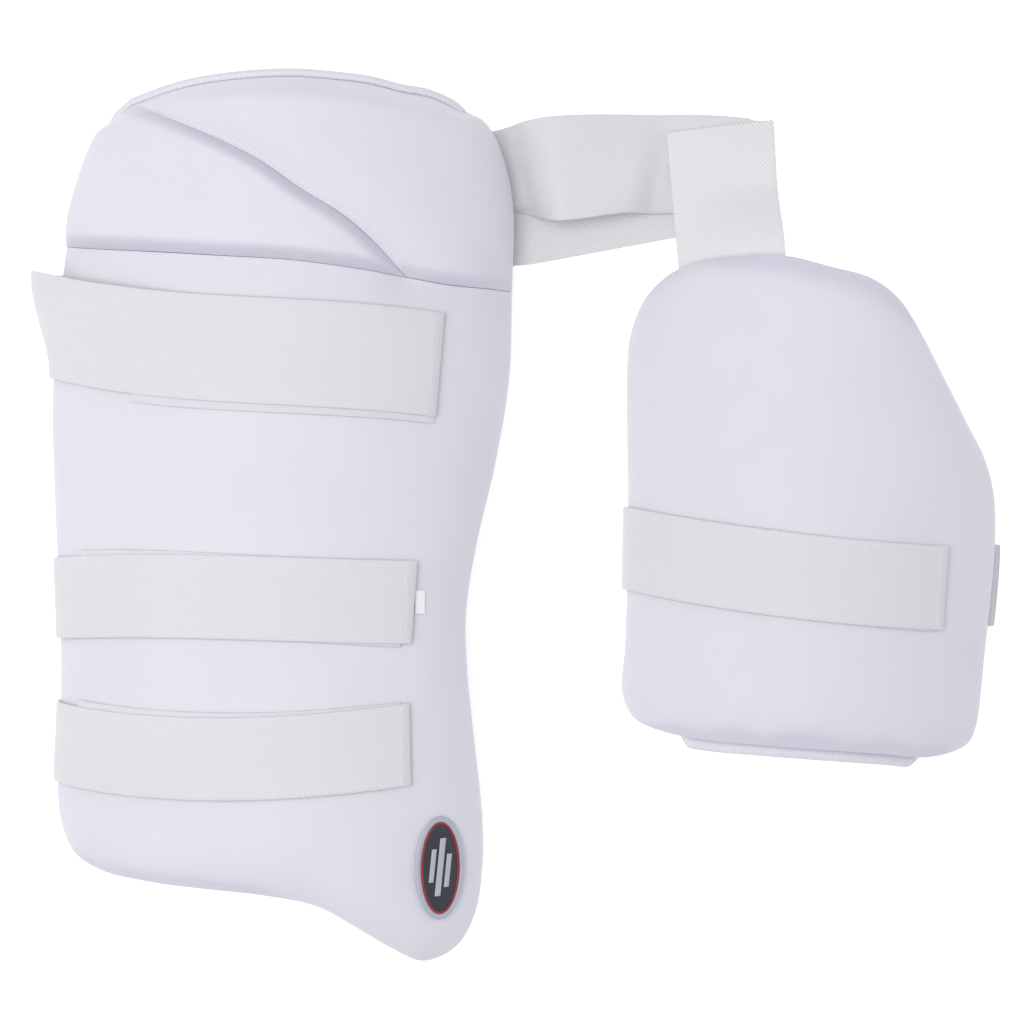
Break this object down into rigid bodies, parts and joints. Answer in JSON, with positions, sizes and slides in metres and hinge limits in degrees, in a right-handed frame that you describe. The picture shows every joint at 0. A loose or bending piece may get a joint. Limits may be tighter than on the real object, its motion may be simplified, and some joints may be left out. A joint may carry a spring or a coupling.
{
  "type": "cricket thigh guard",
  "caption": "Combination thigh guard: long padded outer guard with hip blocks and leg straps, joined to a smaller inner guard by an elastic waist belt and a webbing tab.",
  "frame": {"origin": "under the middle of the whole object's box, on the surface it lies on", "axes": "+X from the outer guard to the inner guard, +Y from the lower lobe to the waist, +Z from the hollow side out through the padding"},
  "size_m": [0.4664, 0.4178, 0.0766],
  "materials": {
    "cover": "smooth padded knit",
    "lining": "fine mesh lining",
    "elastic": "ribbed elastic",
    "webbing": "diamond weave",
    "patch": "brushed loop cloth",
    "label": "satin ribbon",
    "badge_rim": "satin",
    "badge_field": "satin"
  },
  "bodies": {
    "root": {"outer_back_panel": "lining", "outer_thigh_pad": "cover", "outer_hip_pad_front": "cover", "outer_hip_pad_rear": "cover", "strap_top": "elastic", "strap_top_patch": "patch", "strap_middle": "elastic", "strap_middle_patch": "patch", "strap_bottom": "elastic", "strap_bottom_patch": "patch", "strap_label": "label", "badge_rim": "badge_rim", "badge_field": "badge_field", "inner_back_panel": "lining", "inner_thigh_pad": "cover", "inner_strap": "elastic", "inner_strap_patch": "patch", "waist_belt": "elastic", "belt_tab": "webbing"}
  },
  "joints": []
}
